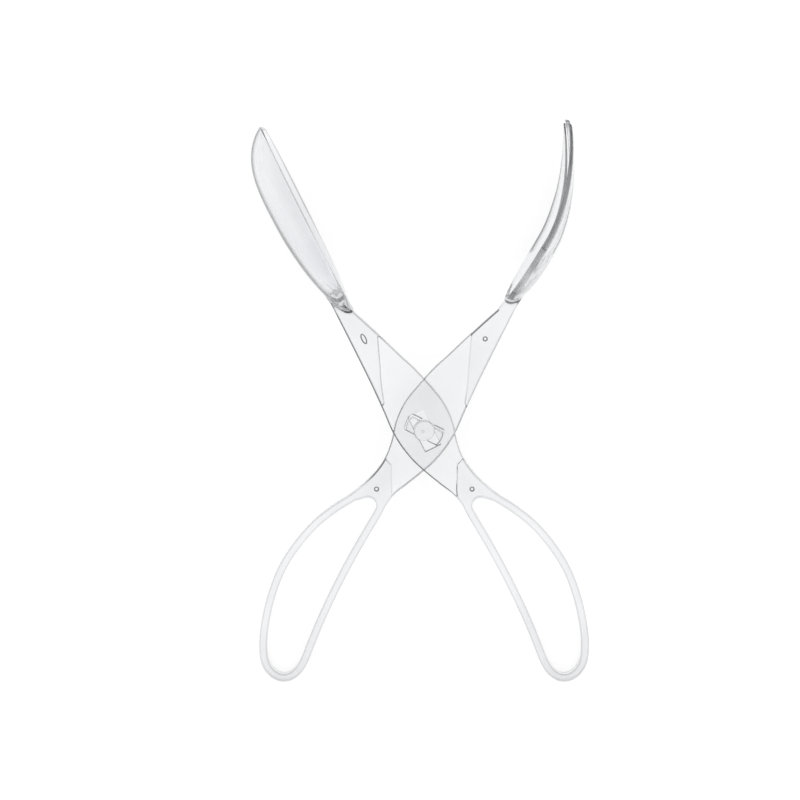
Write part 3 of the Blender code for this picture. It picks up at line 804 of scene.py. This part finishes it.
FORK_ROOT_SHARES = ((0.006, 0.9), (0.03, 0.6), (0.055, 0.5))
FORK_GRID = 0.0011
NOSE_STEPS = 32
HALVINGS = 40
SIDE_STEPS = 200
TINE_END_INSET = TINE_END_LENGTH / 8
FORK_EDGE_REACH = FORK_THICKNESS * 0.6
FORK_BACK_SHADE = 0.2
FORK_RIPPLE = 0.00006


def lug_outline(reach, half_width, side, start=0.0):
    """A lug on one side of the boss, round about the pivot at its end, or the window under it, which starts
    at a radius. The lug itself starts straight, inside the boss."""
    outer = math.degrees(math.asin(half_width / reach))
    middle = 90 - 90 * side
    end = arc((0, 0), reach, middle - outer, middle + outer)
    if start:
        inner = math.degrees(math.asin(half_width / start))
        return [*end, *arc((0, 0), start, middle + inner, middle - inner)]
    foot = side * BOSS_RADIUS / 2
    return [*end, Vector((foot, side * half_width)), Vector((foot, -side * half_width))]


def fork_half_width(along):
    """Half the fork's width at a place along it."""
    reach, power = (FORK_TIP, FORK_TIP_POWER) if along > FORK_WIDEST else (FORK_HEEL, FORK_HEEL_POWER)
    share = min(1.0, abs((along - FORK_WIDEST) / (reach - FORK_WIDEST)))
    return HEAD_HALF_WIDTH * (1 - share**power) ** (1 / power)


def fork_rim(along):
    """Where the fork's side edges lie, seen from the side: a dip that rises to the tips and to the heel."""
    if along > FORK_RIM_LOWEST:
        way = (along - FORK_RIM_LOWEST) / (FORK_TIP - FORK_RIM_LOWEST)
        return FORK_TIP_RISE * way**FORK_RIM_TIP_POWER - FORK_RIM_DIP
    way = (FORK_RIM_LOWEST - along) / (FORK_RIM_LOWEST - FORK_HEEL)
    return FORK_HEEL_RISE * way**FORK_RIM_HEEL_POWER - FORK_RIM_DIP


def fork_thickness(along):
    way = max(0.0, (along - FORK_RIM_LOWEST) / (FORK_TIP - FORK_RIM_LOWEST))
    return FORK_THICKNESS + (TINE_TIP_THICKNESS - FORK_THICKNESS) * way


def fork_sag(along, across):
    """How far the sheet bows out behind its side edges."""
    reach, (power, bend) = (FORK_TIP, FORK_TIP_FALL) if along > FORK_DEEPEST else (FORK_HEEL, FORK_HEEL_FALL)
    share = min(1.0, abs((along - FORK_DEEPEST) / (reach - FORK_DEEPEST)))
    fall = (1 - share**power) ** bend
    width = fork_half_width(along)
    bow = 1 - min(1.0, abs(across) / width) ** 2 if width else 0.0
    return (FORK_DEPTH - FORK_THICKNESS) * fall * bow


def tine_side(along):
    """Half the width of a tine before its nose: a straight taper from its root."""
    root = FORK_HEEL + PALM_LENGTH
    share = (along - root) / (FORK_TIP - root)
    return (TINE_ROOT_WIDTH + (TINE_TIP_WIDTH - TINE_ROOT_WIDTH) * share) / 2


def tine_nose(turn):
    """Along and half across a tine's long round nose, from its side at a right angle to its tip at 0."""
    along = FORK_TIP - TINE_POINT_LENGTH * (1 - math.cos(turn))
    return along, tine_side(along) * math.sin(turn)


def outer_tine_end():
    """The place along at which an outer tine's two sides meet, found by halving the nose's turn."""
    low, high = 0.0, math.pi / 2
    for _ in range(HALVINGS):
        turn = (low + high) / 2
        along, half = tine_nose(turn)
        if fork_half_width(along) < OUTER_TINE_PLACE - half:
            low = turn
        else:
            high = turn
    return tine_nose(turn)[0]


def outer_tine():
    """An outer tine's outline, from its inner side round its tip and on down the fork's side to the heel."""
    end = outer_tine_end()
    last = end - TINE_END_LENGTH
    turns = [math.pi / 2 * (1 - i / NOSE_STEPS) for i in range(NOSE_STEPS)]
    nose = [(along, OUTER_TINE_PLACE - half) for along, half in map(tine_nose, turns) if along < last]
    reaches = (FORK_TIP - FORK_WIDEST, FORK_WIDEST - FORK_HEEL, HEAD_HALF_WIDTH)
    angles = [math.pi * i / SIDE_STEPS for i in range(SIDE_STEPS + 1)]
    side = [superellipse(angle, *reaches, FORK_TIP_POWER, FORK_HEEL_POWER) for angle in angles]
    side = [(FORK_WIDEST + p.x, p.y) for p in side if FORK_WIDEST + p.x < last]
    tip = (end - TINE_END_INSET, (nose[-1][1] + side[0][1]) / 2)
    turned = smooth_curve([Vector(p) for p in (nose[-2], nose[-1], tip, side[0], side[1])])
    return [Vector(p) for p in nose[:-2]] + turned + [Vector(p) for p in side[2:]]


def fork_outline():
    """The fork's plan, along and across, from the middle gap's root up one side and down the other."""
    half = []
    gaps = (TINE_COUNT - 1) // 2
    for i in range(gaps + 1):
        root = FORK_HEEL + (PALM_LENGTH if i == 0 else PALM_SIDE_LENGTH)
        radius = TINE_SPACING / 2 - tine_side(root)
        first = root + radius
        start = 180 if i == 0 else 270
        half += arc((first, i * TINE_SPACING), radius, start, 90)
        straight = FORK_TIP - TINE_POINT_LENGTH - first
        count = round(straight / FORK_GRID)
        middle = (i + 0.5) * TINE_SPACING
        places = [first + straight * k / count for k in range(1, count)]
        half += [Vector((along, middle - tine_side(along))) for along in places]
        if i == gaps:
            half += outer_tine()
            break
        turns = [math.pi / 2 * (1 - k / NOSE_STEPS) for k in range(2 * NOSE_STEPS + 1)]
        half += [Vector((along, middle - across)) for along, across in map(tine_nose, turns)]
        last = FORK_HEEL + PALM_SIDE_LENGTH + radius + FORK_GRID / 2
        returning = [along for along in reversed(places) if along > last]
        half += [Vector((along, middle + tine_side(along))) for along in returning]
    mirrored = [Vector((p.x, -p.y)) for p in reversed(half[1:-1])]
    return [*half, *mirrored]


def fork_sheet():
    """The palm and the tines: the plan's sheet bent to its depth, with round edges on both faces."""
    outline = fork_outline()
    steps = rounding(FORK_EDGE_RADIUS)
    levels = [(False, FORK_EDGE_RADIUS - up, drawn_in) for up, drawn_in in reversed(steps)]
    levels += [(True, FORK_EDGE_RADIUS - up, drawn_in) for up, drawn_in in steps]
    drawn = offset(outline, FORK_EDGE_RADIUS)
    grid = grid_inside([Vector((p.y, p.x)) for p in drawn], FORK_GRID, FORK_HEEL, FORK_TIP)
    grid = [Vector((p.y, p.x)) for p in grid]

    def bent(point, front, inset):
        along, across = point
        back = fork_rim(along) - fork_sag(along, across) - fork_thickness(along)
        return (back + (fork_thickness(along) - inset if front else inset), along, across)

    bm = bmesh.new()
    rows = [[bm.verts.new(bent(p, front, inset)) for p in offset(outline, drawn_in)]
            for front, inset, drawn_in in levels]
    for a, b in zip(rows, rows[1:]):
        for i in range(len(a)):
            bm.faces.new((a[i - 1], a[i], b[i], b[i - 1]))
    for row, front in ((rows[0], False), (rows[-1], True)):
        verts = row + [bm.verts.new(bent(p, front, 0.0)) for p in grid]
        for face in filled([drawn], grid):
            bm.faces.new([verts[i] for i in face])
    return new_object("sheet", bm)


def fork_root():
    """The neck's end, inside the fork's palm."""
    side = []
    for share, through in FORK_ROOT_SHARES:
        along = FORK_HEEL + (FORK_WIDEST - FORK_HEEL) * share
        back = fork_rim(along) - fork_sag(along, 0) - fork_thickness(along)
        side.append(Vector((back + fork_thickness(along) * through, along)))
    return neck_end(side)


fork_arm = arm_plate("fork_arm_moulding", fork_root(), False, MARK_RADIUS)
join_with_fillet(fork_arm, fork_sheet())
lug_bottom = top + LUG_GAP
lug_top = lug_bottom + LUG_THICKNESS
boss_top = lug_top + BOSS_RISE
boss_levels = [(-top + EDGE_RADIUS, 0), *top_levels(boss_top, RIM_RADIUS)]
combine(fork_arm, "UNION", slab("boss", boss_levels, circle(BOSS_RADIUS)))
lug_levels = [(lug_bottom, 0), *top_levels(lug_top, LUG_RADIUS)]
window_levels = [*pocket_levels(0, -top, RIM_RADIUS)[:-1], (OVERRUN, 0)]
for side in (-1, 1):
    window = lug_outline(slot_half_length, slot_half_width, side, BOSS_RADIUS + WINDOW_LEDGE)
    combine(fork_arm, "DIFFERENCE", slab("window", window_levels, window))
    lug = lug_outline(LUG_REACH, LUG_WIDTH / 2, side)
    combine(fork_arm, "UNION", slab("lug", lug_levels, lug))
gate = [Vector(GATE_PLACE) + p for p in circle(GATE_RADIUS)]
gate_levels = [
    (boss_top - RIM_RADIUS, 0),
    (boss_top + GATE_HEIGHT / 2, 0),
    (boss_top + GATE_HEIGHT, GATE_HEIGHT / 2),
]
combine(fork_arm, "UNION", slab("gate", gate_levels, gate))
# Both arms are drawn the same way round up to here, and the fork arm's plate is the spoon arm's mirror image.
fork_arm.data.transform(Matrix.Scale(-1, 4, Vector((1, 0, 0))))
fork_arm.data.flip_normals()
tines = [p for p in fork_outline() if p.x > FORK_HEEL + PALM_LENGTH]
fork_edge = [Vector((fork_sag(*p) + fork_thickness(p.x) / 2 - fork_rim(p.x), *p)) for p in tines]
paint_edge_shade(fork_arm, -REST_ANGLE / 2, fork_edge, FORK_EDGE_REACH, FORK_BACK_SHADE)
fork_plastic = moulded_clear_polystyrene("clear_moulded_polystyrene_fork", 5.0, FORK_RIPPLE)
place_arm(fork_arm, -REST_ANGLE / 2, "fork_arm", fork_plastic)

# The table
# A plain white table top. Its colour is brought up to white where the camera sees it, also by reflection or
# through the plastic, and it keeps the tongs' faint shadow.
TABLE_SIZE = 6.0
TABLE_WHITE = 0.30
TABLE_GLOW = 0.78


def white_table_lacquer():
    """Matt white lacquer, smooth and without grain."""
    material = bpy.data.materials.new("matt_white_lacquer")
    material.use_nodes = True
    material.node_tree.nodes.clear()
    path = add_node(material, "ShaderNodeLightPath").outputs
    direct = add_node(
        material, "ShaderNodeMath", {"operation": "MAXIMUM"},
        {0: path["Is Camera Ray"], 1: path["Is Glossy Ray"]},
    )
    seen = add_node(
        material, "ShaderNodeMath", {"operation": "MAXIMUM"},
        {0: direct.outputs["Value"], 1: path["Is Transmission Ray"]},
    )
    grey = (TABLE_WHITE, TABLE_WHITE, TABLE_WHITE, 1)
    lacquer = add_node(material, "ShaderNodeBsdfDiffuse", {"Color": grey}).outputs["BSDF"]
    glow = add_node(material, "ShaderNodeEmission", {"Color": WHITE, "Strength": TABLE_GLOW})
    lit = add_node(material, "ShaderNodeAddShader", links={0: lacquer, 1: glow.outputs["Emission"]})
    surface = add_node(
        material, "ShaderNodeMixShader",
        links={0: seen.outputs["Value"], 1: lacquer, 2: lit.outputs["Shader"]},
    )
    add_node(material, "ShaderNodeOutputMaterial", links={"Surface": surface.outputs["Shader"]})
    return material


table_sheet = bmesh.new()
bmesh.ops.create_grid(table_sheet, x_segments=2, y_segments=2, size=TABLE_SIZE / 2)
table = new_object("table_top", table_sheet)
table.data.materials.append(white_table_lacquer())

# The light
# A white room with soft light from all round. What the plastic mirrors or bends of it is a little greyer, and
# greyest down by the floor.
WORLD_LIGHT = 1.0
WALL_GREYS = (0.7, 0.85)
WALL_SPAN = (-0.3, 0.6)
LIGHT_BOUNCES = 32
world = bpy.data.worlds.new("white_room")
bpy.context.scene.world = world
world.use_nodes = True
world.node_tree.nodes.clear()
room = add_node(world, "ShaderNodeBackground", {"Color": WHITE, "Strength": WORLD_LIGHT})
path = add_node(world, "ShaderNodeLightPath").outputs
indirect = add_node(
    world, "ShaderNodeMath", {"operation": "MAXIMUM"},
    {0: path["Is Glossy Ray"], 1: path["Is Transmission Ray"]},
)
direction = add_node(world, "ShaderNodeTexCoord").outputs["Generated"]
parts = add_node(world, "ShaderNodeSeparateXYZ", links={"Vector": direction}).outputs
grey = add_node(
    world, "ShaderNodeMapRange",
    {"From Min": WALL_SPAN[0], "From Max": WALL_SPAN[1], "To Min": WALL_GREYS[0], "To Max": WALL_GREYS[1]},
    {"Value": parts["Z"]},
)
walls = add_node(world, "ShaderNodeBackground", {"Strength": 1.0}, {"Color": grey.outputs["Result"]})
seen = add_node(
    world, "ShaderNodeMixShader",
    links={0: indirect.outputs["Value"], 1: room.outputs["Background"], 2: walls.outputs["Background"]},
)
add_node(world, "ShaderNodeOutputWorld", links={"Surface": seen.outputs["Shader"]})
bpy.context.scene.cycles.max_bounces = LIGHT_BOUNCES
bpy.context.scene.cycles.transmission_bounces = LIGHT_BOUNCES
bpy.context.scene.cycles.glossy_bounces = LIGHT_BOUNCES

# The camera
# It looks straight down from 1.1 m above the pivot, with the tongs a little off the middle of the frame.
CAMERA_HEIGHT = 1.1
CAMERA_SHIFT = (-0.01030, 0.01259)
FOCAL_PIXELS = 2595.6
FRAME_PIXELS = 800
SENSOR_WIDTH = 36.0
camera = bpy.data.objects.new("camera", bpy.data.cameras.new("camera"))
bpy.context.scene.collection.objects.link(camera)
camera.location = Vector(joint["pos_m"]) + Vector((*CAMERA_SHIFT, CAMERA_HEIGHT))
camera.data.sensor_width = SENSOR_WIDTH
camera.data.lens = FOCAL_PIXELS / FRAME_PIXELS * SENSOR_WIDTH
camera.data.clip_end = 20.0
bpy.context.scene.camera = camera
bpy.context.scene.view_settings.view_transform = "Standard"
